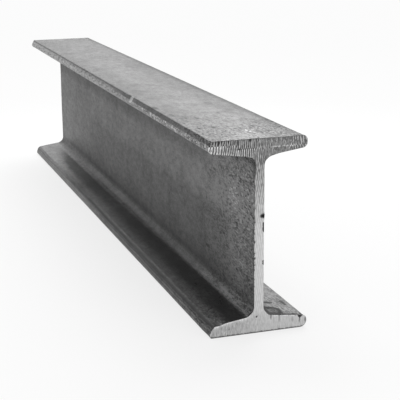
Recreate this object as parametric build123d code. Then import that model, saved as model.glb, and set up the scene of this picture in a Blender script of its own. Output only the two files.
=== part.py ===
"""Short length of hot-rolled steel I-beam with tapered flanges, cut square at both ends.

One piece of stock: the web and both flanges are rolled from a single bar, so the whole
beam is one solid. It stands on its lower flange. X runs across the flanges, Y along the
beam, and Z up. The origin is under the middle of the beam, on the face that it rests on.
"""

from build123d import *
from math import tan, radians
import os

# Main sizes of the section, in millimetres
beam_length = 375.0
section_height = 80.0
flange_width = 42.0
web_thickness = 3.9
flange_thickness = 6.3  # measured a quarter of the flange's width in from its toe
flange_taper_share = 0.14  # rise of the inner face for each unit of width

# Rounds that the rolls leave where the web meets a flange and on the right toes
root_radius = 4.2
toe_outer_radius = 2.3
toe_inner_radius = 2.2

# Upper left toe: its outer half is rolled flat and leans out, down to an upright land
upper_flat_width = 1.5
upper_land_height = 2.1
upper_arris_radius = 0.6

# Lower left toe: its inner half leans in, above an upright land
lower_flat_width = 1.1
lower_land_height = 1.7
lower_arris_radius = 0.9

# Rounds that both left toes share
shoulder_radius = 2.0
left_inner_radius = 1.7

# Two rounds on one wall take up at most this share of it
rounded_wall_share = 0.98


def flange_depth(distance_from_web_centre):
    """Thickness of a flange at a distance from the middle of the web."""
    reference_distance = flange_width / 4
    return flange_thickness + flange_taper_share * (reference_distance - distance_from_web_centre)


def section_corners():
    """Each sharp corner of the section with its radius, anticlockwise from the lower right toe."""
    toe_x = flange_width / 2
    web_x = web_thickness / 2
    toe_depth = flange_depth(toe_x)
    root_depth = flange_depth(web_x)
    upper_flat_x = toe_x - upper_flat_width
    lower_flat_x = toe_x - lower_flat_width

    def under_top(depth):
        return section_height - depth

    lower_right = [
        ((toe_x, 0), toe_outer_radius),
        ((toe_x, toe_depth), toe_inner_radius),
        ((web_x, root_depth), root_radius),
    ]
    upper_right = [
        ((web_x, under_top(root_depth)), root_radius),
        ((toe_x, under_top(toe_depth)), toe_inner_radius),
        ((toe_x, section_height), toe_outer_radius),
    ]
    upper_left = [
        ((-upper_flat_x, section_height), upper_arris_radius),
        ((-toe_x, under_top(toe_depth) + upper_land_height), shoulder_radius),
        ((-toe_x, under_top(toe_depth)), left_inner_radius),
        ((-web_x, under_top(root_depth)), root_radius),
    ]
    lower_left = [
        ((-web_x, root_depth), root_radius),
        ((-lower_flat_x, flange_depth(lower_flat_x)), left_inner_radius),
        ((-toe_x, lower_land_height), shoulder_radius),
        ((-toe_x, 0), lower_arris_radius),
    ]
    return lower_right + upper_right + upper_left + lower_left


def seated_radii(corners, radii):
    """The radii, each reduced where two rounds would otherwise run into each other on a wall."""
    points = [Vector(*corner) for corner in corners]
    walls = [points[i] - points[i - 1] for i in range(len(points))]
    following = walls[1:] + walls[:1]
    turns = [before.get_angle(after) for before, after in zip(walls, following)]
    reaches = [radius * tan(radians(turn) / 2) for radius, turn in zip(radii, turns)]
    fits = [
        min(1, rounded_wall_share * wall.length / (reaches[i] + reaches[i - 1]))
        for i, wall in enumerate(walls)
    ]
    return [radius * min(fits[i], fits[(i + 1) % len(fits)]) for i, radius in enumerate(radii)]


def rolled_section():
    """The beam's cross-section with every corner rolled round, drawn flat: its Y is the beam's Z."""
    corners, radii = zip(*section_corners())
    return make_face(FilletPolyline(*corners, radius=seated_radii(corners, radii), close=True))


def i_beam():
    """The section stood up at the far end and carried straight along the beam to the near end."""
    far_end = Plane.XZ.offset(-beam_length / 2)
    return extrude(far_end * rolled_section(), amount=beam_length)


os.makedirs("parts", exist_ok=True)
export_step(i_beam(), "parts/i_beam.step")
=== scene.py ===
"""A short length of hot-rolled steel I-beam on a white floor, in soft studio light.

The bar is modelled over its CAD solid. Its section is shaped from one block, its edges are
rolled round, both ends are sawn, and the rolled faces get their waviness, pits and scale.
X runs across the flanges, Y along the bar and Z up. The sawn end at -Y faces the camera.
"""

import math
from itertools import starmap
from typing import NamedTuple

import bmesh
import bpy
from bpy.props import FloatProperty, FloatVectorProperty, PointerProperty
from mathutils import Matrix, Vector


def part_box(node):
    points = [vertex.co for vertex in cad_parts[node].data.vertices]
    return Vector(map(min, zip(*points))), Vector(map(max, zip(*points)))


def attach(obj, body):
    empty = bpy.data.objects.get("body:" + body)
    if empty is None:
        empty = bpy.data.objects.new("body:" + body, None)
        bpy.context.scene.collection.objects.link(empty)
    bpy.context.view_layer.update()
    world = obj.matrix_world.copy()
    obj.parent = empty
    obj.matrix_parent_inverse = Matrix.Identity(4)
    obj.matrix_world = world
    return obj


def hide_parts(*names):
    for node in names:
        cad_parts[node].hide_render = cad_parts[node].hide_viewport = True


bl_info = {
    "name": "Rolled Steel Beam",
    "version": (1, 0, 0),
    "blender": (4, 5, 0),
    "location": "3D View > Sidebar > Steel",
    "description": "Models a sawn length of hot-rolled I-beam and the stage it stands on",
    "category": "Add Mesh",
}

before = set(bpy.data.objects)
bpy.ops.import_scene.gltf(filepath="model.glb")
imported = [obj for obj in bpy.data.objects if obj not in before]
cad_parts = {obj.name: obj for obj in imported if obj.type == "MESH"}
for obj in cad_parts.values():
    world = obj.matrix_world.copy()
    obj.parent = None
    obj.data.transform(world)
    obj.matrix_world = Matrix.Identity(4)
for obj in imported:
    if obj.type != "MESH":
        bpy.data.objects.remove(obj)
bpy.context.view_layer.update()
low_corner, high_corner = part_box("i_beam")
beam_width = high_corner.x - low_corner.x
beam_length = high_corner.y - low_corner.y
beam_height = high_corner.z - low_corner.z
half_width = beam_width / 2
half_length = beam_length / 2

# Two places nearer than this are the same place
touching = 1e-5

# Marks and node recipes give places in millimetres from the middle of the bar's foot
millimetres = 1000.0
top_mm = beam_height * millimetres
toe_mm = half_width * millimetres
end_mm = half_length * millimetres
left_of_web_mm = -1.95
unpushed = (0, 0, 0)

# The white room's colour, and its brightness where it is seen
white = (1, 1, 1, 1)
white_seen = 0.97


class Mark(NamedTuple):
    """A dent, stain or rubbed spot, in millimetres."""

    centre: tuple
    reach: tuple
    shade: float  # Below 0 for dark and above 0 for bright
    push: tuple = unpushed


def on_near_end(x, z, wide, high, shade, push=unpushed):
    return Mark((x, -end_mm, z), (wide, 1.0, high), shade, push)


def on_top(x, y, wide, long, shade, deep=0.0):
    return Mark((x, y, top_mm), (wide, long, 1.0), shade, (0, 0, -deep))


def on_left_web(y, z, long, high, shade):
    return Mark((left_of_web_mm, y, z), (1.5, long, high), shade)


# Bright specks, pits and stains: X, Y, reach across and along the bar, shade and depth
TOP_SPOTS = [
    (1.9, -173.0, 0.5, 1.0, 1.0),
    (1.2, -170.2, 0.6, 1.6, 0.9),
    (-15.2, -159.6, 0.8, 2.6, -0.8, 0.15),
    (-10.4, -180.0, 0.7, 2.0, -0.6, 0.10),
    (-9.2, -161.5, 0.9, 2.4, -0.5, 0.10),
    (-8.8, -137.5, 1.0, 3.2, -0.5, 0.10),
    (-13.3, -136.0, 0.7, 2.4, -0.4),
    (4.9, -164.8, 0.9, 2.2, -0.6, 0.12),
    (6.8, -162.4, 0.8, 2.4, -0.5, 0.10),
    (4.0, -128.0, 1.1, 3.5, -0.4, 0.08),
    (7.5, -103.5, 2.4, 6.0, -0.3),
    (-18.3, -107.0, 1.8, 5.5, -0.45),
    (-16.7, -127.5, 1.4, 4.5, -0.4),
    (9.0, -184.0, 1.8, 2.6, -0.35),
    (11.7, -171.0, 0.6, 1.5, -0.5),
    (-17.5, -146.7, 0.7, 3.0, -0.45),
    (15.0, -121.7, 0.5, 5.0, -0.4),
    (12.5, -150.0, 0.6, 3.0, -0.35),
]
# Pits, stains and rubbed patches: Y, Z, reach along and up the bar, and shade
WEB_SPOTS = [
    (-122.5, 47.3, 9.0, 3.0, 0.12),
    (-163.5, 50.5, 9.0, 7.0, 0.17),
    (-173.3, 24.8, 5.0, 2.2, 0.12),
    (-185.5, 67.0, 2.6, 5.0, -0.5),
    (-175.0, 60.3, 2.4, 0.8, -0.7),
    (-183.0, 61.5, 1.2, 2.2, -0.5),
    (-139.0, 57.7, 3.0, 0.9, -0.6),
    (-134.0, 56.0, 2.2, 0.7, -0.5),
    (-159.2, 47.0, 2.8, 0.9, -0.5),
    (-167.5, 40.3, 2.4, 1.2, -0.5),
    (-151.7, 32.3, 2.2, 0.8, -0.5),
    (-167.5, 21.0, 2.0, 1.0, -0.6),
    (-180.0, 20.7, 2.4, 2.4, -0.5),
    (-184.0, 17.7, 1.8, 1.0, -0.6),
    (-130.0, 20.7, 4.0, 1.2, -0.5),
]
ROLLED_MARKS = [
    # Nick across the upper left arris
    Mark((-20.2, -71.8, 79.0), (2.2, 3.6, 2.6), 0.6, (0.5, 0, -0.55)),
    # Worn corner and foot of the lower left toe
    Mark((-18.6, -188.0, 5.2), (5.0, 14.0, 3.2), 0.0, (0.1, 0, -0.4)),
    Mark((-21.0, -188.0, 1.4), (1.5, 12.0, 2.6), 0.0, (0.22, 0, 0.05)),
    Mark((-20.8, -188.0, 3.6), (2.2, 14.0, 2.4), 0.0, (0.35, 0, 0)),
    # Hollows in the upper left root, and how far the right roots are rolled off their line
    Mark((-1.9, -188.0, 67.6), (2.6, 30.0, 3.4), 0.0, (0.5, 0, 0)),
    Mark((-2.6, -188.0, 71.2), (2.6, 30.0, 2.6), 0.0, (0.45, 0, 0.3)),
    Mark((4.6, -188.0, 72.6), (3.6, 40.0, 2.6), 0.0, (0, 0, -0.28)),
    Mark((7.0, -188.0, 6.9), (5.5, 30.0, 3.0), 0.0, (0, 0, -0.2)),
    # A dark patch in the upper left root, and two bright streaks in it
    Mark((-4.8, -184.5, 72.4), (4.0, 5.0, 2.6), -1.0),
    Mark((-4.6, -186.2, 72.6), (2.2, 0.8, 1.0), 0.45),
    Mark((-3.4, -184.6, 71.6), (1.8, 0.8, 1.2), 0.38),
    # Spots on the right lower flange
    Mark((9.6, -171.5, 6.5), (3.4, 1.9, 2.0), -0.9),
    Mark((17.0, -171.6, 5.4), (1.5, 4.6, 2.0), -0.8),
    *starmap(on_top, TOP_SPOTS),
    *starmap(on_left_web, WEB_SPOTS),
]
# Damage to the photographed end: X, Z, reach across and up, shade and push
CUT_SPOTS = [
    # Bruises on the upper flange
    (-3.7, 79.5, 0.9, 0.9, -0.8),
    (-8.7, 78.7, 0.9, 1.7, -0.4),
    (-8.3, 76.2, 0.8, 0.4, -0.7, (0, 0.3, 0)),
    (-8.4, 77.2, 0.6, 0.5, 0.5),
    (19.8, 77.6, 0.6, 1.0, -0.4),
    # Chips and nicks along both edges of the web
    (1.8, 48.7, 1.7, 1.2, -1.2, (0.35, 0.3, 0)),
    (2.15, 45.3, 0.7, 1.1, -4.0),
    (2.15, 43.4, 0.8, 1.7, -4.0),
    (2.1, 29.6, 0.8, 1.3, -4.0),
    (-1.85, 52.0, 0.5, 0.7, -0.5, (0.15, 0.2, 0)),
    (-1.85, 46.5, 0.5, 0.6, -0.6, (0.15, 0.2, 0)),
    (-1.85, 38.4, 0.6, 0.7, -0.8, (0.2, 0.3, 0)),
    (-1.85, 33.5, 0.5, 0.6, -0.6, (0.15, 0.2, 0)),
    (-1.85, 31.5, 0.6, 0.7, -0.8, (0.2, 0.3, 0)),
    (-1.85, 28.8, 0.5, 0.6, -0.6, (0.15, 0.2, 0)),
    # A pit under the web, a speck, and runs from the top of the right lower flange
    (-0.9, 6.9, 0.55, 0.45, -0.9, (0, 0.25, 0)),
    (-12.6, 3.1, 0.6, 0.4, -0.3),
    (5.3, 6.2, 0.5, 1.8, -0.5),
    (9.0, 5.3, 0.6, 2.2, -0.32),
    (14.7, 4.2, 0.5, 2.2, -0.3),
    (17.9, 3.4, 0.5, 2.0, -0.5),
    (18.0, 5.0, 1.1, 0.8, -1.0, (0, 0.3, -0.1)),
    (20.3, 3.4, 0.5, 1.6, -0.5),
]
SAWN_MARKS = list(starmap(on_near_end, CUT_SPOTS))


def amount(name, description, value, **more):
    return FloatProperty(name=name, description=description, default=value, min=0, **more)


def length(name, description, metres):
    return amount(name, description, metres, unit="LENGTH", precision=5)


def share(name, description, value):
    return amount(name, description, value, subtype="FACTOR", max=1)


def angle(name, description, degrees):
    turn = math.radians(degrees)
    return FloatProperty(name=name, description=description, default=turn, subtype="ANGLE")


def colour(name, description, grey):
    return FloatVectorProperty(
        name=name, description=description, default=(grey,) * 3, subtype="COLOR", size=3, min=0, max=1
    )


class RolledSectionSettings(bpy.types.PropertyGroup):
    """Sizes of the rolled section"""

    web_thickness: length("Web", "Thickness of the web", 0.0041)
    flange_thickness: length("Flange", "Thickness of a flange a quarter of its width in", 0.0063)
    flange_taper: share("Taper", "Rise of a flange's inner face for each unit of width", 0.14)
    root_radius: length("Root radius", "Round between the web and a flange", 0.0042)
    toe_outer_radius: length("Outer toe radius", "Outer round of the upper right toe", 0.0023)
    toe_inner_radius: length("Inner toe radius", "Inner round of the upper right toe", 0.0022)
    upper_flat: length("Upper flat", "How far the upper left toe leans out", 0.0015)
    upper_land: length("Upper land", "Upright land of the upper left toe", 0.0021)
    lower_flat: length("Lower flat", "How far the lower left toe leans in", 0.0011)
    lower_land: length("Lower land", "Upright land of the lower left toe", 0.0017)
    upper_arris: length("Upper arris", "Round on the upper left arris", 0.0006)
    upper_right_short: length("Short toe", "How far the upper right toe falls short", 0.0005)
    lower_outer_radius: length("Lower outer radius", "Outer round of the lower right toe", 0.0029)
    lower_right_inner: length("Lower right radius", "Inner round of the lower right toe", 0.0020)
    lower_arris: length("Lower arris", "Round on the lower left arris", 0.0009)
    shoulder_radius: length("Shoulder", "Round between a left flat and its land", 0.0012)
    upper_inner_radius: length("Upper inner radius", "Inner round of the upper left toe", 0.0022)
    lower_inner_radius: length("Lower inner radius", "Inner round of the lower left toe", 0.0028)


class MeshDetailSettings(bpy.types.PropertyGroup):
    """How finely the bar is divided before its relief is pressed in"""

    column: length("Column", "Width of the faces across the flats", 0.0013)
    end_row: length("End row", "Length of the faces near the ends", 0.0007)
    middle_row: length("Middle row", "Length of the faces in the middle", 0.0019)
    end_zone: length("End zone", "Length at each end with the finer faces", 0.045)
    round_step: length("Round step", "Width of the faces on the rounds", 0.0006)
    cut_column: length("Cut column", "Width of the faces on the sawn ends", 0.0002)
    cut_row: length("Cut row", "Height of the faces on the sawn ends", 0.0005)


class RolledFaceSettings(bpy.types.PropertyGroup):
    """Relief and colours of the rolled faces"""

    wave_depth: length("Wave depth", "Depth of the slow waves left by the rolls", 0.00010)
    ripple_depth: length("Ripple depth", "Depth of the short ripples", 0.00003)
    pit_depth: length("Pit depth", "Depth of the pits where scale was rolled in", 0.00012)
    toe_wobble: length("Toe wobble", "How far the toes wander from a straight line", 0.00012)
    web_lean: length("Web lean", "How far the top of the web is rolled off centre", 0.00028)
    scale_colour: colour("Scale", "Mill scale on the rolled faces", 0.052)
    # Also the colour that the painted highlights on the toes and along the lower left root mix towards
    rubbed_and_lit_colour: colour("Rubbed", "Steel where the scale is rubbed thin", 0.162)
    # Also the colour of the painted reflection and glints along the toes
    bright_and_highlight_colour: colour("Bright", "Specks of bare steel", 0.60)
    # Also the colour of the painted shade in the channels, roots, toes, web and top
    stain_and_shade_colour: colour("Stain", "Dark rust and dirt", 0.022)


class SawnEndSettings(bpy.types.PropertyGroup):
    """Relief and colours of the sawn ends"""

    mark_depth: length("Mark depth", "Depth of the saw's marks", 0.00016)
    rim: length("Rim", "Width of the burr's broken edge", 0.00022)
    steel_colour: colour("Steel", "Fresh sawn steel", 0.58)
    # Also the colour of the painted shade in the bottoms of the marks, on the rims and towards the top
    groove_shade_colour: colour("Groove", "Bottoms of the saw's marks", 0.12)
    # Also the colour of the painted shade deep in the marks at the upper left
    dirt_and_shade_colour: colour("Dirt", "Dirt and rust in chips and runs", 0.03)


class StageSettings(bpy.types.PropertyGroup):
    """Camera, floor and light"""

    camera_place: FloatVectorProperty(
        name="Camera", description="Where the camera stands", default=(-0.1543, -0.57869, 0.16483),
        subtype="TRANSLATION", unit="LENGTH", size=3,
    )
    camera_heading: angle("Heading", "Turn of the view from +Y towards +X", 18.374)
    camera_dip: angle("Dip", "How far the view looks down", 14.581)
    camera_roll: angle("Roll", "Turn about the view", -0.601)
    lens: FloatProperty(
        name="Lens", description="Focal length in millimetres on a 36 mm wide sensor",
        default=99.83, min=1,
    )
    floor_radius: length("Floor", "Radius at which the floor has faded away", 0.9)
    floor_colour: colour("Floor", "Colour of the floor", 0.90)
    floor_glow: share("Floor glow", "How much of the floor is plain white instead of lit", 0.74)
    floor_white: amount("Floor white", "Brightness of that plain white", 0.985)
    world_light: amount("Room light", "Soft light from all round", 0.44)
    key_power: amount("Key light", "Large soft lamp behind and above the bar, in watts", 22.0)
    fill_power: amount("Fill light", "Soft lamp in front, to the right, in watts", 3.0)


# Making meshes by hand


def edit_alone(piece):
    """Open one piece in edit mode with nothing else selected."""
    if bpy.context.object and bpy.context.object.mode == "EDIT":
        bpy.ops.object.mode_set(mode="OBJECT")
    bpy.ops.object.select_all(action="DESELECT")
    piece.select_set(True)
    bpy.context.view_layer.objects.active = piece
    bpy.ops.object.mode_set(mode="EDIT")


def choose(piece, kind, test):
    """In edit mode, select only the faces or edges that pass a test."""
    bpy.ops.mesh.select_mode(type={"faces": "FACE", "edges": "EDGE"}[kind])
    bpy.ops.mesh.select_all(action="DESELECT")
    shape = bmesh.from_edit_mesh(piece.data)
    for element in getattr(shape, kind):
        if test(element):
            element.select_set(True)
    bmesh.update_edit_mesh(piece.data, loop_triangles=False, destructive=False)


def cut_all(place, direction):
    """Cut everything that shows in edit mode along a plane."""
    bpy.ops.mesh.select_all(action="SELECT")
    bpy.ops.mesh.bisect(plane_co=place, plane_no=direction)


def move_selected(x=0.0, z=0.0):
    bpy.ops.transform.translate(value=(x, 0, z))


def same(value, other):
    return abs(value - other) < touching


def runs_along(x, z):
    """A test for the edge that runs along the bar at a place in the section."""
    return lambda edge: all(same(v.co.x, x) and same(v.co.z, z) for v in edge.verts)


def on_cut_end(element):
    """Whether every point of a face or edge lies in the same sawn end."""
    reach = [v.co.y for v in element.verts]
    return same(min(reach), max(reach)) and same(abs(reach[0]), half_length)


def on_outline(edge):
    """Whether an edge lies between a sawn end and a rolled face."""
    return on_cut_end(edge) and not all(on_cut_end(face) for face in edge.link_faces)


# Shape of the bar


def flange_depth(section, across):
    """Thickness of a flange at a distance from the middle of the web."""
    return section.flange_thickness + section.flange_taper * (beam_width / 4 - across)


def section_corners(section):
    """Each sharp corner of the section with its radius, anticlockwise from the lower right toe."""
    web = section.web_thickness / 2
    toe_depth = flange_depth(section, half_width)
    root_depth = flange_depth(section, web)
    lower_flat = half_width - section.lower_flat
    upper_right = half_width - section.upper_right_short
    top = beam_height
    return [
        ((half_width, 0), section.lower_outer_radius),
        ((half_width, toe_depth), section.lower_right_inner),
        ((web, root_depth), section.root_radius),
        ((web, top - root_depth), section.root_radius),
        ((upper_right, top - flange_depth(section, upper_right)), section.toe_inner_radius),
        ((upper_right, top), section.toe_outer_radius),
        ((section.upper_flat - half_width, top), section.upper_arris),
        ((-half_width, top - toe_depth + section.upper_land), section.shoulder_radius),
        ((-half_width, top - toe_depth), section.upper_inner_radius),
        ((-web, top - root_depth), section.root_radius),
        ((-web, root_depth), section.root_radius),
        ((-lower_flat, flange_depth(section, lower_flat)), section.lower_inner_radius),
        ((-half_width, section.lower_land), section.shoulder_radius),
        ((-half_width, 0), section.lower_arris),
    ]


def rough_bar(section):
    """A block as thick as the web, with both flanges drawn out of its sides and tapered."""
    bpy.ops.object.select_all(action="DESELECT")
    bpy.ops.mesh.primitive_cube_add(
        size=1, location=(0, 0, beam_height / 2), scale=(section.web_thickness, beam_length, beam_height)
    )
    bar = bpy.context.object
    bar.name = bar.data.name = "rolled_beam"
    bpy.ops.object.transform_apply(location=True, rotation=False, scale=True)
    edit_alone(bar)

    root_depth = flange_depth(section, section.web_thickness / 2)
    drop = root_depth - flange_depth(section, half_width)
    for z in (root_depth, beam_height - root_depth):
        cut_all((0, 0, z), (0, 0, 1))
    for side in (-1, 1):

        def faces_side_of_flange(face):
            off_centre = abs(face.calc_center_median().z - beam_height / 2)
            return face.normal.x * side > 0.9 and off_centre > beam_height / 2 - root_depth

        choose(bar, "faces", faces_side_of_flange)
        reach = side * (beam_width - section.web_thickness) / 2
        bpy.ops.mesh.extrude_region_move(TRANSFORM_OT_translate={"value": (reach, 0, 0)})
        choose(bar, "edges", runs_along(side * half_width, root_depth))
        move_selected(z=-drop)
        choose(bar, "edges", runs_along(side * half_width, beam_height - root_depth))
        move_selected(z=drop)
    bpy.ops.mesh.select_all(action="SELECT")
    bpy.ops.mesh.dissolve_limited(angle_limit=math.radians(1))
    return bar


def shape_toes(bar, section):
    """Lean the outer half of the upper left toe and the inner half of the lower one.

    The upper right toe is drawn back along its taper.
    """
    toe_depth = flange_depth(section, half_width)
    lower_flat = half_width - section.lower_flat

    def is_left_toe(face):
        return face.normal.x < -0.9 and same(face.calc_center_median().x, -half_width)

    for z in (section.lower_land, beam_height - toe_depth + section.upper_land):
        choose(bar, "faces", is_left_toe)
        bpy.ops.mesh.bisect(plane_co=(0, 0, z), plane_no=(0, 0, 1))
    choose(bar, "edges", runs_along(-half_width, beam_height))
    move_selected(x=section.upper_flat)
    choose(bar, "edges", runs_along(-half_width, toe_depth))
    move_selected(x=section.lower_flat, z=flange_depth(section, lower_flat) - toe_depth)

    short = section.upper_right_short
    choose(bar, "edges", runs_along(half_width, beam_height))
    move_selected(x=-short)
    choose(bar, "edges", runs_along(half_width, beam_height - toe_depth))
    move_selected(x=-short, z=toe_depth - flange_depth(section, half_width - short))


def roll_corners_round(bar, section, detail):
    """Bevel every edge that runs along the bar to its own radius."""
    corners = section_corners(section)
    places = [Vector(place) for place, radius in corners]
    for i, (place, radius) in enumerate(corners):
        before = places[i] - places[i - 1]
        after = places[(i + 1) % len(places)] - places[i]
        turn = before.angle(after)
        choose(bar, "edges", runs_along(*place))
        bpy.ops.mesh.bevel(
            offset=radius * math.tan(turn / 2),
            segments=max(2, round(radius * turn / detail.round_step)),
            profile=0.5,
            affect="EDGES",
        )


def divide_flats(bar, detail):
    """Divide the flats into columns that run along the bar."""

    def columns(edge):
        return round(edge.calc_length() / detail.column)

    shape = bmesh.from_edit_mesh(bar.data)
    counts = {columns(edge) for edge in shape.edges if on_outline(edge)}
    for count in sorted(counts - {0, 1}):
        choose(bar, "edges", lambda edge: on_outline(edge) and columns(edge) == count)
        bpy.ops.mesh.subdivide(number_cuts=count - 1)
    choose(bar, "faces", on_cut_end)
    bpy.ops.mesh.dissolve_faces()


def saw_ends(bar, detail, cut):
    """Break the rim of both ends and divide their faces into small cells, in a slot of their own."""
    rim_row = half_length - 3 * cut.rim
    for y in (-rim_row, rim_row, detail.end_zone - half_length, half_length - detail.end_zone):
        cut_all((0, y, 0), (0, 1, 0))

    choose(bar, "edges", on_outline)
    bpy.ops.mesh.bevel(offset=cut.rim, segments=2, profile=0.5, affect="EDGES")
    beyond = half_length - 1.5 * cut.rim
    choose(bar, "faces", lambda face: all(abs(v.co.y) > beyond for v in face.verts))
    bar.active_material_index = 1
    bpy.ops.object.material_slot_assign()

    choose(bar, "faces", on_cut_end)
    bpy.ops.mesh.hide(unselected=True)
    for i in range(1, math.ceil(beam_width / detail.cut_column)):
        cut_all((i * detail.cut_column - half_width, 0, 0), (1, 0, 0))
    for i in range(1, math.ceil(beam_height / detail.cut_row)):
        cut_all((0, 0, beam_height - i * detail.cut_row), (0, 0, 1))
    bpy.ops.mesh.reveal(select=False)
    bpy.ops.mesh.select_all(action="SELECT")
    bpy.ops.mesh.remove_doubles(threshold=touching / 5)


def divide_length(bar, detail, cut):
    """Divide the bar along its length, more finely near its ends."""
    middle = half_length - detail.end_zone
    for rows, inside in ((detail.middle_row, True), (detail.end_row, False)):

        def runs_through_zone(edge):
            first, last = (v.co.y for v in edge.verts)
            is_long = edge.calc_length() > 4 * cut.rim and not same(first, last)
            return is_long and (max(abs(first), abs(last)) < middle + touching) == inside

        span = 2 * middle if inside else detail.end_zone
        choose(bar, "edges", runs_through_zone)
        bpy.ops.mesh.subdivide(number_cuts=round(span / rows) - 1)


# Node recipes that the relief and the materials share


class Field:
    """A node's output. Those that vary over the bar add, subtract and multiply as numbers do."""

    def __init__(self, recipe, socket):
        self.recipe = recipe
        self.socket = socket

    def __add__(self, other):
        return self.recipe.math("ADD", self, other)

    def __radd__(self, other):
        return self.recipe.math("ADD", other, self)

    def __sub__(self, other):
        return self.recipe.math("SUBTRACT", self, other)

    def __rsub__(self, other):
        return self.recipe.math("SUBTRACT", other, self)

    def __mul__(self, other):
        return self.recipe.math("MULTIPLY", self, other)

    def __abs__(self):
        return self.recipe.math("ABSOLUTE", self)


class Spot(NamedTuple):
    """Where a point of the bar is, in millimetres: its coordinates, and all three as one place."""

    x: Field
    y: Field
    z: Field
    place: Field


class Recipe:
    """Adds nodes to a tree. Its calls take fields, sockets and plain values, and return fields."""

    def __init__(self, tree):
        self.nodes = tree.nodes
        self.links = tree.links

    def feed(self, socket, value):
        if isinstance(value, Field):
            value = value.socket
        if isinstance(value, bpy.types.NodeSocket):
            self.links.new(value, socket)
        else:
            socket.default_value = value

    def node(self, kind, inputs=(), **settings):
        """A new node, with its inputs fed by name or number."""
        made = self.nodes.new(kind)
        for name, value in settings.items():
            setattr(made, name, value)
        for name, value in dict(inputs).items():
            self.feed(made.inputs[name], value)
        return made

    def field(self, kind, inputs=(), output=0, **settings):
        """One output of a new node."""
        return Field(self, self.node(kind, inputs, **settings).outputs[output])

    def math(self, operation, *values):
        return self.field("ShaderNodeMath", enumerate(values), operation=operation)

    def vector_math(self, operation, *vectors, output="Vector"):
        return self.field("ShaderNodeVectorMath", enumerate(vectors), output, operation=operation)

    def vector_sum(self, *vectors):
        total = vectors[0]
        for vector in vectors[1:]:
            total = self.vector_math("ADD", total, vector)
        return total

    def scale(self, vector, factor):
        return self.field("ShaderNodeVectorMath", {0: vector, "Scale": factor}, operation="SCALE")

    def wave(self, turns):
        """A smooth wave from 0 to 1 that repeats once for each turn."""
        return self.math("SINE", turns * (2 * math.pi)) * 0.5 + 0.5

    def fade(self, value, start, end, low=0.0, high=1.0):
        """Ease from low to high while a value goes from start to end."""
        ends = {"From Min": start, "From Max": end, "To Min": low, "To Max": high}
        return self.field(
            "ShaderNodeMapRange", {"Value": value, **ends}, "Result", interpolation_type="SMOOTHSTEP"
        )

    def between(self, value, start, full, still_full, end):
        """Ease from 0 at start to 1 at full, and from 1 at still_full to 0 at end."""
        return self.fade(value, start, full) * self.fade(value, end, still_full)

    def place(self, x, y, z):
        return self.field("ShaderNodeCombineXYZ", {"X": x, "Y": y, "Z": z})

    def apart(self, place):
        """The X, Y and Z of a place."""
        parts = self.node("ShaderNodeSeparateXYZ", {0: place}).outputs
        return [Field(self, parts[axis]) for axis in "XYZ"]

    def spot(self, position):
        """The spot for a position in metres."""
        place = self.scale(position, millimetres)
        return Spot(*self.apart(place), place)

    def noise(self, place, scale=1.0, detail=2.0, roughness=0.5, distortion=0.0, output=0):
        grain = {"Scale": scale, "Detail": detail, "Roughness": roughness, "Distortion": distortion}
        return self.field("ShaderNodeTexNoise", {"Vector": place, **grain}, output)

    def patches(self, place, scale, start, end, low=0.0, high=1.0, **grain):
        """Random patches: noise that is eased from low to high while it goes from start to end."""
        return self.fade(self.noise(place, scale, **grain), start, end, low, high)

    def ragged(self, place, scale, reach):
        """The place, shifted at random so that outlines drawn with it are ragged."""
        drift = self.noise(place, scale, output="Color")
        centred = self.vector_math("SUBTRACT", drift, (0.5, 0.5, 0.5))
        return self.vector_sum(place, self.scale(centred, reach))


# Parts of the bar, from 0 outside them to 1 inside. From here on, places are in millimetres.


def left_half(r, x):
    return r.math("LESS_THAN", x, 0.0)


def near_end(r, y):
    return r.fade(y, -100.0, -178.0)


def into_bar(y):
    """How far a place lies from the nearer sawn end."""
    return end_mm - abs(y)


def lower_inner_face(section, x, side):
    """Height of the lower flange's inner face, where side is -1 for the left and 1 for the right."""
    return x * (-side * section.flange_taper) + flange_depth(section, 0) * millimetres


# Saw marks


def stroke_edge(r, x):
    """Height at which the saw's first stroke over the upper flange ends."""
    return r.fade(x, -9.6, -9.0, top_mm - 2.1, top_mm - 3.8)


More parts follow.
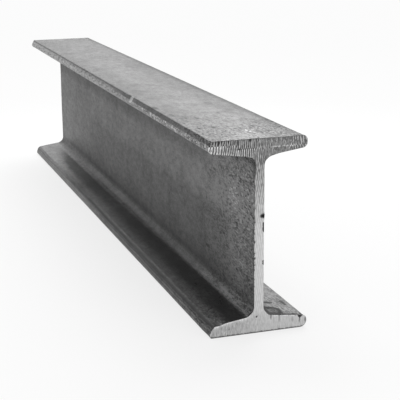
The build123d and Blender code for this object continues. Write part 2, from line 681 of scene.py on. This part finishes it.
def saw_marks(r, spot):
    """Height of the sawn face from 0 to 1, and how bold its marks are."""
    x, y, z, _ = spot
    seed = r.math("GREATER_THAN", y, 0.0) * 40.0
    over_web = r.fade(abs(x), 4.5, 2.5, 0.0, 3.5)
    in_upper_flange = r.fade(z - over_web, top_mm - 14, top_mm - 8)
    in_lower_flange = r.fade(z, 13.0, 8.0)
    in_web = 1.0 - (in_upper_flange + in_lower_flange)
    wander = r.noise(r.place(x * 0.25, z * 0.1, seed), detail=1.0)
    jitter = r.noise(r.place(x * 0.8, z * 0.28, seed + 9.0))
    boldness = r.patches(r.place(x * 0.7, z * 0.6, seed + 5.0), 1.0, 0.38, 0.58)
    streaks = r.noise(r.place(x * 2.4, z * 0.35, seed), detail=3.0, roughness=0.6)
    dashes = r.noise(r.place(x * 1.1, z * 0.5, seed + 2.0))

    # The saw came in from above in two strokes, so the marks fan out over the upper flange
    lean = r.math("MAXIMUM", z - (top_mm - 3), -8.0)
    fanned = x * lean * 0.011 + x
    cubed = fanned * fanned * fanned * -0.00042
    second_stroke = r.math("GREATER_THAN", z, stroke_edge(r, x))
    closer_on_right = r.math("MAXIMUM", r.math("MINIMUM", x - 1.0, 12.0), 0.0)
    shifts = wander + jitter * 0.6 + second_stroke * 0.45 + closer_on_right * 0.65
    combed = r.fade(x, -10.5, -8.5) * r.fade(x, 1.5, -2.0, 0.0, 0.9)
    coarse = (r.wave(fanned * 1.27 + cubed + shifts) - 0.5) * (boldness * 0.75 + combed + 0.25)
    teeth = r.noise(r.place(x * 3.0, z * 0.9, seed + 12.0))
    upper = coarse + (teeth - 0.5) * 1.3

    # Over the web the strokes of both directions cross and leave a braid
    left_hand = r.wave((z * 0.15 + x) * 1.15 + wander * 1.6 + jitter)
    right_hand = r.wave((z * -0.13 + x) * 1.25 + wander * -1.3)
    braid = left_hand * right_hand - 0.3

    # Over the lower flange the marks are finer, and bolder towards the left toe
    fine = (r.wave(x * 1.8 + wander + jitter * 1.3) - 0.5) * (boldness * 0.7 + 0.3)
    lower = fine * r.fade(x, -4.0, -9.0, 0.38, 1.0)

    main_marks = upper * in_upper_flange + braid * in_web * 0.55 + lower * in_lower_flange
    loose_marks = (streaks - 0.5) * 1.1 + (dashes - 0.5) * 0.9
    strength = (
        r.fade(z, 30.0, top_mm - 16, 0.25, 0.52)
        + r.fade(z, top_mm - 12, top_mm - 7, 0.0, 0.45)
        + combed * in_upper_flange * 0.3
        + in_lower_flange * r.fade(x, 4.0, -10.0, 0.05, 0.34)
    )
    return main_marks + loose_marks + 0.5, strength


# Damage that the photo shows


def weigh(r, place, mark):
    """1 in the middle of a mark and 0 outside its reach."""
    shares = r.vector_math("DIVIDE", r.vector_math("SUBTRACT", place, mark.centre), mark.reach)
    return r.fade(r.vector_math("LENGTH", shares, output="Value"), 1.0, 0.35)


def marked(r, place, marks):
    """How dark and how bright the marks leave a place."""
    ragged = r.ragged(place, 1.2, 0.7)
    dark = sum(weigh(r, ragged, mark) * -mark.shade for mark in marks if mark.shade < 0)
    bright = sum(weigh(r, ragged, mark) * mark.shade for mark in marks if mark.shade > 0)
    return dark, bright


def dents(r, place, marks):
    """How far the marks push a place, in metres."""
    pushes = [r.scale(mark.push, weigh(r, place, mark)) for mark in marks if mark.push != unpushed]
    return r.scale(r.vector_sum(*pushes), 1 / millimetres)


# Relief of the bar


def relief_modifier(bar, name, recipe_for_offset):
    """Move the bar's points by what a node recipe gives, then apply it."""
    tree = bpy.data.node_groups.new(name, "GeometryNodeTree")
    for direction in ("INPUT", "OUTPUT"):
        tree.interface.new_socket("Geometry", in_out=direction, socket_type="NodeSocketGeometry")
    r = Recipe(tree)
    given = r.field("NodeGroupInput")
    offset = recipe_for_offset(r, r.field("GeometryNodeInputPosition"))
    moved = r.field("GeometryNodeSetPosition", {"Geometry": given, "Offset": offset})
    r.node("NodeGroupOutput", {0: moved})
    modifier = bar.modifiers.new(name, "NODES")
    modifier.node_group = tree
    bpy.ops.object.modifier_apply(modifier=modifier.name)


def rolled_offset(r, position, rolled):
    """Slow waves, ripples and pits, inwards from the true section, and the bar's own dents."""
    x, y, z, place = r.spot(position)
    along = r.place(x, y * 0.35, z)
    waves = r.noise(along, 0.05) * rolled.wave_depth + r.noise(along, 0.35) * rolled.ripple_depth
    pitted = r.patches(place, 0.06, 0.48, 0.66, detail=1.0)
    pits = r.patches(place, 0.42, 0.60, 0.72) * pitted * rolled.pit_depth
    on_toe = r.fade(abs(x), toe_mm - 4, toe_mm - 1)
    wobble = r.noise(r.place(0.0, y * 0.16, z)) * on_toe * rolled.toe_wobble
    clear_of_cut = r.fade(abs(y), end_mm, end_mm - 1.5)
    outwards = (waves + pits + wobble) * -1.0 * clear_of_cut
    relief = r.scale(r.field("GeometryNodeInputNormal"), outwards)

    in_web = r.fade(abs(x), 12.0, 6.0) * r.between(z, 7.0, 11.0, 71.0, 78.0)
    lean = in_web * r.fade(z, 30.0, 62.0, 0.3, 1.0) * rolled.web_lean
    pushed = dents(r, place, ROLLED_MARKS + SAWN_MARKS)
    return r.vector_sum(relief, pushed, r.place(lean, 0.0, 0.0))


def sawn_offset(r, position, cut):
    """The saw's marks, cut into both ends."""
    spot = r.spot(position)
    height, strength = saw_marks(r, spot)
    at_end = r.fade(abs(spot.y), end_mm - 2 * cut.rim * millimetres, end_mm)
    deep = r.math("MINIMUM", height - 1.0, 0.0) * strength * cut.mark_depth
    return r.place(0.0, deep * at_end * r.math("SIGN", spot.y), 0.0)


def press_relief(bar, rolled, cut):
    bpy.ops.object.mode_set(mode="OBJECT")
    relief_modifier(bar, "Rolled Relief", lambda r, position: rolled_offset(r, position, rolled))
    relief_modifier(bar, "Saw Marks", lambda r, position: sawn_offset(r, position, cut))
    bpy.ops.object.shade_smooth_by_angle(angle=math.radians(38))


# Materials


def new_material(name):
    """An empty material, its recipe, its shader node and the object's own coordinates."""
    material = bpy.data.materials.new(name)
    material.use_nodes = True
    material.node_tree.nodes.clear()
    r = Recipe(material.node_tree)
    shader = r.node("ShaderNodeBsdfPrincipled")
    r.node("ShaderNodeOutputMaterial", {"Surface": shader.outputs[0]})
    return material, r, shader, r.field("ShaderNodeTexCoord", output="Object")


def opaque(shade):
    return (*shade, 1.0)


def mix_colour(r, amount, first, second):
    colours = {0: amount, 6: first, 7: second}
    return r.field("ShaderNodeMix", colours, output=2, data_type="RGBA", clamp_factor=True)


# Mill scale on the rolled faces


def scale_tone(r, spot):
    """How worn the mottled scale is, and the bumps that go with it."""
    x, y, z, place = spot
    blotches = r.noise(place, 0.07, detail=3.0, roughness=0.6, distortion=0.5)
    mottle = r.noise(r.place(x, y * 0.45, z), 0.42, detail=6.0, roughness=0.7)
    grain = r.noise(place, 1.1, detail=5.0, roughness=0.8)
    average = 0.55
    contrast = r.fade(near_end(r, y), 0.0, 1.0, 0.6, 1.15)
    mixed = blotches * 0.2 + mottle * 0.4 + grain * 0.5
    return (mixed - average) * contrast + average, mottle + grain


def upper_left_toe(r, spot):
    """The land with a painted reflection in patches, painted bright specks on it, and a painted shade
    band above it.
    """
    x, y, z, place = spot
    patches = r.patches(r.place(0.0, y * 0.22, z), 1.0, 0.34, 0.56, 0.25, 1.0, detail=3.0)
    from_band = z - r.fade(y, -90.0, 40.0, 0.0, 2.4)
    land = (
        r.fade(x, 1.5 - toe_mm, 0.9 - toe_mm)
        * r.fade(from_band, top_mm - 1.6, top_mm - 2.2)
        * r.fade(z, top_mm - 4.5, top_mm - 3.8)
        * patches
        * r.fade(y, -170.0, 60.0, 0.7, 1.35)
    )
    speckled = r.patches(place, 0.8, 0.49, 0.6, detail=3.0)
    specks = land * speckled * r.fade(y, -60.0, -130.0, 0.15, 1.0)
    band = (
        r.fade(x, 2.2 - toe_mm, 1.2 - toe_mm)
        * r.fade(z, top_mm - 2.1, top_mm - 1.6)
        * r.fade(y, -20.0, -140.0, 0.24, 0.42)
        * r.fade(y, 110.0, 30.0)
    )
    return land, specks, band


def lower_left_toe(r, spot):
    """Dark drawn lines along the toe's side, painted shade towards its top, and a painted highlight
    along it that grows towards the far end.
    """
    x, y, z, _ = spot
    lines = r.wave(z * 0.85 + r.noise(r.place(0.0, y * 0.03, 5.0), detail=1.0))
    held = lines * 0.42 + r.fade(z, 2.4, 4.4, 0.05, 0.5)
    dirt_and_painted_shade = r.fade(x, -17.5, -19.5) * r.fade(z, 6.4, 5.2) * held * r.fade(y, -60.0, 90.0, 1.0, 0.2)
    on_toe = r.fade(x, -18.2, -19.4) * r.fade(z, 6.2, 5.4)
    polish_and_highlights = on_toe * r.fade(y, -100.0, 60.0, 0.0, 0.38) * r.fade(lines, 0.2, 0.7, 0.4, 1.0)
    return dirt_and_painted_shade, polish_and_highlights


def lower_left_root(r, spot):
    """A painted highlight in streaks along the lower left root, and painted shade over the root and the
    web just above it.
    """
    x, y, z, _ = spot
    streaks = r.patches(r.place(x * 1.6, y * 0.13, z * 1.6), 1.0, 0.42, 0.6, 0.3, 1.0, detail=3.0)
    on_root = r.between(x, -6.0, -4.6, -1.0, 0.0) * r.between(z, 5.5, 6.5, 7.8, 9.2)
    painted_streaks = on_root * streaks * r.fade(y, -90.0, -165.0, 0.1, 0.5)
    middle = r.between(y, -140.0, -90.0, -20.0, 20.0) * r.fade(z, 9.6, 8.4) * 0.12
    depth = r.fade(z, 8.8, 10.0, 0.34, 0.26) + middle
    shade = left_half(r, x) * r.fade(x, -6.0, -5.0) * r.between(z, 5.5, 6.5, 10.5, 14.0) * depth
    return painted_streaks, shade


def channel_shade(r, spot):
    """Painted shade over the lower flange in the left channel, thinner at the toe and the far end."""
    x, y, z, _ = spot
    patches = r.place(x, y * 0.3, z)
    uneven = r.patches(patches, 0.3, 0.35, 0.65, 0.75, 1.1, detail=4.0, roughness=0.7)
    corner = r.fade(x, -16.0, -18.0) * r.fade(x, -20.6, -18.4, 0.15, 0.35)
    across = r.fade(x, -17.5, -11.0, 0.25, 1.0) + corner
    from_root = x + r.fade(y, -150.0, 60.0, 0.0, 2.0)
    along = r.fade(x * -5.0 + y, 225.0, 165.0, 0.1, 1.0) * r.fade(y, 0.0, 80.0, 1.0, 1.3)
    on_flange = left_half(r, x) * r.between(z, 3.4, 4.2, 7.8, 9.8)
    return on_flange * uneven * across * r.fade(from_root, -4.4, -6.4) * along


def left_web_shades(r, spot):
    """Painted shade low on the left of the web, under the upper flange and along its far half, and how
    much paler than its scale it is in two bands.
    """
    x, y, z, _ = spot
    on_web = left_half(r, x) * r.fade(x, -2.6, -2.2) * r.fade(z, 74.0, 70.0)
    low = r.fade(z, 45.0, 38.0, 0.0, 0.33) * r.between(y, -170.0, -143.0, 60.0, 170.0)
    high_band = r.fade(z, 55.0, 61.0) * r.fade(z, 70.0, 66.0, 0.3, 1.0)
    high = high_band * r.fade(y, -150.0, -100.0, 0.0, 0.27)
    far_length = r.fade(y, -110.0, -30.0, 0.0, 0.15) * r.fade(y, 180.0, 100.0, 0.4, 1.0)
    far = r.fade(z, 40.0, 44.0) * far_length
    pale_middle = r.between(z, 41.0, 46.0, 56.0, 61.0) * r.fade(y, -130.0, -160.0, 0.0, 0.5)
    pale_top = r.fade(z, 64.0, 68.0) * r.fade(y, 20.0, -110.0, 0.0, 0.45)
    return on_web * (low + high + far), on_web * (pale_middle + pale_top)


def top_shade(r, spot):
    """How much painted shade darkens the top, mostly towards its sides and further from the near end."""
    x, y, z, _ = spot
    left_side = r.fade(x, -2.0, -16.0, 0.0, 0.25) * r.fade(y, -70.0, 30.0, 1.0, 0.6)
    right_side = r.fade(x, 3.0, 12.0, 0.0, 0.18) * r.fade(y, 0.0, 110.0, 1.0, 0.1)
    sides = (left_side + right_side) * r.fade(y, -186.0, -160.0, 0.5, 1.0)
    on_top_face = r.fade(z, top_mm - 0.8, top_mm - 0.3)
    return on_top_face * (sides + r.fade(y, -115.0, -45.0, 0.0, 0.12))


def edge_shade(r, spot):
    """A painted shadow of the burr along both cuts, painted shade along the upper left root, and darker
    along the right rim of the top.
    """
    x, y, z, place = spot
    along_cuts = (
        r.fade(into_bar(y), 1.8, 0.5)
        * r.patches(place, 0.35, 0.35, 0.6, detail=3.0)
        * r.fade(z, top_mm - 1, top_mm - 3)
        * r.fade(x, 3.0, 6.0, 0.7, 1.3)
    )
    by_upper_root = r.between(z, top_mm - 14, top_mm - 9.5, top_mm - 7, top_mm - 5)
    right_rim = r.fade(x, toe_mm - 7, toe_mm - 2) * r.fade(z, top_mm - 1, top_mm - 0.2) * 0.45
    return along_cuts + by_upper_root * left_half(r, x) * 0.5 + right_rim


def right_flange_rust_and_shadow(r, spot):
    """A ring of rust round a paler middle, and a painted shadow of the burr along the cut, on the right
    lower flange.
    """
    x, y, z, place = spot
    ring_x, ring_y = 8.1, -181.6
    ring_half_width, ring_half_length = 4.3, 5.4
    ragged_x, ragged_y, _ = r.apart(r.ragged(place, 0.6, 3.0))
    out_x = (ragged_x - ring_x) * (1 / ring_half_width)
    out_y = (ragged_y - ring_y) * (1 / ring_half_length)
    from_middle = r.math("SQRT", out_x * out_x + out_y * out_y)
    ring = r.fade(from_middle, 1.1, 0.85) * r.fade(from_middle, 0.25, 0.7, 0.55, 1.0)
    dashes = r.patches(r.place(x * 0.8, 0.0, 3.0), 1.0, 0.40, 0.60, 0.1, 1.0, detail=3.0)
    along_cut = r.fade(y + end_mm, 3.4, 2.0) * dashes
    return r.fade(x, 3.0, 4.0) * r.between(z, 3.5, 4.5, 7.6, 8.2) * (ring + along_cut)


def pits(r, spot):
    """Pits in clusters, most of them near the photographed end."""
    clusters = r.patches(spot.place, 0.05, 0.42, 0.62, detail=1.0)
    share_along = r.fade(near_end(r, spot.y), 0.0, 1.0, 0.35, 1.0)
    return r.patches(spot.place, 0.5, 0.585, 0.68, detail=4.0) * clusters * share_along


def fine_texture(r, spot):
    """Fine pits and glints near the photographed end, fainter on the right of the web."""
    x, y, z, _ = spot
    off_web = r.fade(abs(z - top_mm / 2), 31.0, 33.0)
    off_right_web = r.math("MAXIMUM", r.fade(x, 1.5, 1.9, 1.0, 0.35), off_web)
    up_web = r.fade(z, 20.0, 60.0, 0.6, 1.0) * r.fade(z, 58.0, 66.0, 1.0, 0.72)
    crisp = near_end(r, y) * near_end(r, y) * up_web * off_right_web
    fine_pits = r.patches(r.place(x, y * 0.45, z * 1.2), 0.95, 0.54, 0.63)
    glints = r.patches(r.place(y * 0.45, z * 1.2, x), 0.95, 0.53, 0.62)
    return fine_pits * crisp * 0.78, glints * crisp * 2.5


def web_scratches(r, spot):
    """Slanting scratches on the web near the photographed end."""
    _, y, z, _ = spot
    slanting = r.place(z * 1.6 + y * 0.5, y * 0.06, z * 0.05)
    scratches = r.patches(slanting, 1.0, 0.56, 0.68, detail=3.0, roughness=0.6)
    return scratches * r.fade(y, -140.0, -165.0) * r.between(z, 12.0, 20.0, 50.0, 62.0) * 0.8


def mill_scale(rolled):
    """Grey mill scale, mottled and pitted, with painted shade in the channels and painted highlights
    along the toes.
    """
    material, r, shader, position = new_material("Mill Scale")
    spot = r.spot(position)
    tone, bumps = scale_tone(r, spot)
    land, specks, band = upper_left_toe(r, spot)
    toe_lines_and_shade, toe_highlight = lower_left_toe(r, spot)
    root_highlight, root_shade = lower_left_root(r, spot)
    channel_floor_shade = channel_shade(r, spot)
    web_shade, web_pale = left_web_shades(r, spot)
    fine_pits, glints = fine_texture(r, spot)
    scratches = web_scratches(r, spot)
    dark, bright = marked(r, spot.place, ROLLED_MARKS)

    # Rubbed scale, with painted highlights on the upper toe's land and along the lower root, glints,
    # scratches and paler bands on the web
    shine = r.fade(tone, 0.46, 0.64) + land + bright + root_highlight + scratches + glints + web_pale
    body = mix_colour(r, shine, opaque(rolled.scale_colour), opaque(rolled.rubbed_and_lit_colour))
    # Painted reflection and glints on the upper left toe's land, and a painted highlight along the lower
    # toe
    toes = land * 0.42 + specks * 1.2 + toe_highlight
    polish_and_highlights = toes + (bright - 0.2) * 1.2 + glints * 0.2 + scratches * 0.14
    lit = mix_colour(r, polish_and_highlights, body, opaque(rolled.bright_and_highlight_colour))
    # Painted shade on the upper toe's band, the channel floor, the lower root, the lower toe, the cut
    # edges and the upper root, with the toe's dark drawn lines
    dirt_and_painted_shade = band + channel_floor_shade + root_shade + toe_lines_and_shade + edge_shade(r, spot)
    # Painted shade on the left of the web and over the top
    shades = web_shade + top_shade(r, spot)
    spots = fine_pits + pits(r, spot) * 0.6 + dark + right_flange_rust_and_shadow(r, spot)
    stain_and_shade = dirt_and_painted_shade + shades + spots - (bright * 1.2 + root_highlight * 0.5)
    r.feed(shader.inputs["Base Color"], mix_colour(r, stain_and_shade, lit, opaque(rolled.stain_and_shade_colour)))

    shader.inputs["Metallic"].default_value = 0.8
    dulled = r.math("MINIMUM", stain_and_shade, 1.0) * 0.2 + r.fade(tone, 0.3, 0.75, 0.56, 0.42)
    trodden = channel_floor_shade * r.fade(spot.y, -60.0, 60.0, 0.35, 0.1)
    r.feed(shader.inputs["Roughness"], dulled - trodden)
    bump = r.field("ShaderNodeBump", {"Height": bumps, "Distance": 0.00006, "Strength": 0.7})
    r.feed(shader.inputs["Normal"], bump)
    return material


# Sawn steel on both ends


def stroke_shades(r, spot, height):
    """Where the saw's two strokes over the upper flange left it darker and paler, with painted
    highlights on the crests of the comb and painted shade deep in the marks at its left.
    """
    x, _, z, _ = spot
    above_edge = z - stroke_edge(r, x)
    on_edge = r.fade(abs(above_edge), 0.4, 0.1)
    ledge = on_edge * r.between(x, -9.3, -8.8, -2.0, 0.0) * 0.5
    first_stroke = r.fade(above_edge, -0.3, 0.3) * r.fade(x, 2.0, -6.0) * 0.08
    step = on_edge * r.fade(x, 2.5, 6.5) * r.fade(x, 18.5, 13.0, 0.2, 1.0) * 0.5
    in_comb = r.between(x, -10.5, -8.5, -2.0, 1.5) * r.fade(z, top_mm - 9, top_mm - 6)
    comb = in_comb * r.fade(height, 0.1, 0.9) * 0.17
    on_left = r.fade(x, -9.5, -12.0) * r.fade(above_edge, -0.2, 0.2)
    return ledge + first_stroke, step + comb, on_left * r.fade(height, 0.6, 0.3) * 0.7


def pale_left_edges(r, spot, height, section):
    """How much paler the cut is at the left toes and along the inner faces of the flanges, in painted
    highlights on the crests of the marks and along those edges.
    """
    x, _, z, _ = spot
    below_stroke = r.fade(z - stroke_edge(r, x), 0.2, -0.3)
    upper_left = r.fade(x, -4.0, -9.0) * r.fade(z, 60.0, 66.0)
    crests = r.fade(x, -10.0, -19.0) * upper_left * r.fade(height, 0.2, 0.8) * 0.34
    tip = r.fade(x, -19.4, -20.4) * r.fade(z, 72.0, 74.0) * 0.5
    lower_face = lower_inner_face(section, x, -1)
    over_upper_face = r.fade(z - (top_mm - lower_face), 1.4, 0.3)
    upper_edge = upper_left * over_upper_face * r.fade(height, 0.3, 0.7, 0.4, 1.0) * 0.35
    by_lower_face = r.fade(x, -3.0, -8.0) * r.fade(z, 10.0, 8.0) * r.fade(lower_face - z, 1.6, 0.4)
    return (crests + tip) * below_stroke + upper_edge + by_lower_face * height * 0.5


def dark_edges(r, spot, section):
    """Painted shade on the rims of the cut, the chips along its edges, and a dark line along its foot
    that is partly burr and partly painted shadow.
    """
    x, y, z, _ = spot
    top_rim = r.fade(z, top_mm - 0.7, top_mm - 0.3) * 0.3 + r.fade(z, top_mm - 0.35, top_mm - 0.1) * 0.45
    in_bevel = r.fade(into_bar(y), 0.03, 0.12)
    bevel = in_bevel * r.fade(x, -4.0, 4.0, 0.05, 1.0) * r.fade(z, 60.0, 20.0, 0.3, 1.0)
    rim = top_rim + r.fade(x, 19.8, 20.8) * 0.25 + bevel
    left_edge = r.fade(x, -1.45, -1.85) * r.between(z, 12.0, 20.0, 58.0, 64.0)
    by_right_face = r.fade(lower_inner_face(section, x, 1) - z, 0.6, 0.15)
    right_edge = by_right_face * r.fade(x, 5.0, 8.0) * r.fade(z, 9.0, 8.0)
    chips = r.patches(r.place(x * 0.9, 0.0, z * 0.8), 1.0, 0.5, 0.6, detail=3.0, roughness=0.7)
    ragged_foot = r.noise(r.place((z * 0.9 + x) * 0.9, 0.0, 0.0)) * 1.6
    burr = r.fade(z - ragged_foot, 0.1, -0.5)
    return rim + (left_edge + right_edge) * chips * 0.7 + burr * 0.8


def sawn_steel(cut, section):
    """Bright sawn steel, with painted shade in the bottoms of its marks and painted shade that greys it
    towards the top, where the saw began.
    """
    material, r, shader, position = new_material("Sawn Steel")
    spot = r.spot(position)
    height, strength = saw_marks(r, spot)
    # Painted shade in the bottoms of the saw's marks
    marks = (1.0 - r.fade(height, 0.1, 0.9)) * strength
    # Painted shade: greyer towards the top, and a little at the foot
    grey = r.fade(spot.z, 38.0, top_mm - 6, 0.0, 0.44) + r.fade(spot.z, 10.0, 6.0, 0.0, 0.1)
    darker, paler, stroke_groove_shade = stroke_shades(r, spot, height)
    spots, bright = marked(r, spot.place, SAWN_MARKS)

    shaded = marks + grey + darker + dark_edges(r, spot, section)
    shade = shaded - (paler + pale_left_edges(r, spot, height, section) + bright)
    body = mix_colour(r, shade, opaque(cut.steel_colour), opaque(cut.groove_shade_colour))
    # Dirt and rust in chips and runs, and painted shade deep in the marks at the upper left
    dirt_and_painted_shade = spots + stroke_groove_shade
    r.feed(shader.inputs["Base Color"], mix_colour(r, dirt_and_painted_shade, body, opaque(cut.dirt_and_shade_colour)))
    shader.inputs["Metallic"].default_value = 0.9
    dulled = r.math("MINIMUM", dirt_and_painted_shade, 1.0) * 0.4
    r.feed(shader.inputs["Roughness"], r.fade(height, 0.2, 0.9, 0.52, 0.36) + dulled)
    return material


# The piece and its stage


class MESH_OT_rolled_beam(bpy.types.Operator):
    """Roll the bar, saw its ends and finish it"""

    bl_idname = "mesh.rolled_beam"
    bl_label = "Rolled Beam"

    def execute(self, context):
        scene = context.scene
        section, detail = scene.rolled_section, scene.mesh_detail
        rolled, cut = scene.rolled_faces, scene.sawn_ends
        bar = rough_bar(section)
        bar.data.materials.append(mill_scale(rolled))
        bar.data.materials.append(sawn_steel(cut, section))
        shape_toes(bar, section)
        roll_corners_round(bar, section, detail)
        divide_flats(bar, detail)
        saw_ends(bar, detail, cut)
        divide_length(bar, detail, cut)
        press_relief(bar, rolled, cut)
        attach(bar, "root")
        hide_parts("i_beam")
        return {"FINISHED"}


def add_camera(stage):
    bpy.ops.object.camera_add()
    camera = bpy.context.object
    turn = (
        Matrix.Rotation(-stage.camera_heading, 4, "Z")
        @ Matrix.Rotation(math.pi / 2 - stage.camera_dip, 4, "X")
        @ Matrix.Rotation(stage.camera_roll, 4, "Z")
    )
    camera.matrix_world = Matrix.Translation(stage.camera_place) @ turn
    camera.data.sensor_width = 36
    camera.data.lens = stage.lens
    bpy.context.scene.camera = camera


def rays_that_show(r):
    """1 for what is seen directly, mirrored or through something, and 0 for light that is shed."""
    path = r.node("ShaderNodeLightPath").outputs
    seen = r.math("MAXIMUM", path["Is Camera Ray"], path["Is Glossy Ray"])
    return r.math("MAXIMUM", seen, path["Is Transmission Ray"])


def add_floor(stage):
    """A pale floor that fades into the white room around it."""
    bpy.ops.mesh.primitive_circle_add(vertices=96, radius=2 * stage.floor_radius, fill_type="NGON")
    floor = bpy.context.object
    floor.name = "floor"
    material, r, shader, place = new_material("Pale Floor")
    shader.inputs["Base Color"].default_value = opaque(stage.floor_colour)
    shader.inputs["Roughness"].default_value = 0.9
    shader.inputs["Specular IOR Level"].default_value = 0.1
    glow = r.field("ShaderNodeEmission", {"Color": white, "Strength": stage.floor_white})
    away = r.vector_math("LENGTH", place, output="Value")
    plain = r.fade(away, stage.floor_radius * 0.13, stage.floor_radius * 0.5, stage.floor_glow, 1.0)
    glowing = {0: rays_that_show(r) * plain, 1: shader.outputs[0], 2: glow}
    lit = r.field("ShaderNodeMixShader", glowing)
    clear = r.field("ShaderNodeBsdfTransparent")
    faded = r.fade(away, stage.floor_radius * 0.33, stage.floor_radius)
    output = next(node for node in r.nodes if node.type == "OUTPUT_MATERIAL")
    r.feed(output.inputs["Surface"], r.field("ShaderNodeMixShader", {0: faded, 1: lit, 2: clear}))
    floor.data.materials.append(material)


def add_lamp(name, place, target, size, power):
    bpy.ops.object.light_add(type="AREA", location=place)
    lamp = bpy.context.object
    lamp.name = name
    lamp.rotation_euler = (Vector(target) - Vector(place)).to_track_quat("-Z", "Y").to_euler()
    lamp.data.shape = "RECTANGLE"
    lamp.data.size, lamp.data.size_y = size
    lamp.data.energy = power
    lamp.visible_camera = False


def light_room(stage):
    """White for what is seen directly or mirrored, softer for the light that it sheds."""
    world = bpy.data.worlds.new("White Room")
    bpy.context.scene.world = world
    world.use_nodes = True
    world.node_tree.nodes.clear()
    r = Recipe(world.node_tree)
    strength = r.fade(rays_that_show(r), 0.0, 1.0, stage.world_light, white_seen)
    light = r.field("ShaderNodeBackground", {"Color": white, "Strength": strength})
    r.node("ShaderNodeOutputWorld", {"Surface": light})


class SCENE_OT_studio_stage(bpy.types.Operator):
    """Set up the camera, the pale floor and the soft light"""

    bl_idname = "scene.studio_stage"
    bl_label = "Studio Stage"

    def execute(self, context):
        stage = context.scene.studio_stage
        add_camera(stage)
        add_floor(stage)
        light_room(stage)
        middle = (0, 0, 0.04)
        near_cut = (0, -0.19, 0.04)
        add_lamp("key_light", (0.3, 0.8, 1.1), middle, (1.4, 1.2), stage.key_power)
        add_lamp("fill_light", (0.55, -1.1, 0.3), near_cut, (0.8, 0.6), stage.fill_power)
        context.scene.view_settings.view_transform = "Standard"
        return {"FINISHED"}


class VIEW3D_PT_steel_beam(bpy.types.Panel):
    """Sizes, colours and steps of the beam"""

    bl_label = "Steel Beam"
    bl_space_type = "VIEW_3D"
    bl_region_type = "UI"
    bl_category = "Steel"

    def draw(self, context):
        for group, operator in STEPS:
            box = self.layout.box()
            for name in group:
                settings = getattr(context.scene, name)
                for key in settings.__annotations__:
                    box.prop(settings, key)
            box.operator(operator)


SETTINGS = {
    "rolled_section": RolledSectionSettings,
    "mesh_detail": MeshDetailSettings,
    "rolled_faces": RolledFaceSettings,
    "sawn_ends": SawnEndSettings,
    "studio_stage": StageSettings,
}
STEPS = (
    (("rolled_section", "mesh_detail", "rolled_faces", "sawn_ends"), "mesh.rolled_beam"),
    (("studio_stage",), "scene.studio_stage"),
)
CLASSES = (*SETTINGS.values(), MESH_OT_rolled_beam, SCENE_OT_studio_stage, VIEW3D_PT_steel_beam)


def register():
    for each in CLASSES:
        bpy.utils.register_class(each)
    for name, settings in SETTINGS.items():
        setattr(bpy.types.Scene, name, PointerProperty(type=settings))


def unregister():
    for name in SETTINGS:
        delattr(bpy.types.Scene, name)
    for each in reversed(CLASSES):
        bpy.utils.unregister_class(each)


def main():
    register()
    bpy.ops.mesh.rolled_beam()
    bpy.ops.scene.studio_stage()


if __name__ == "__main__":
    main()
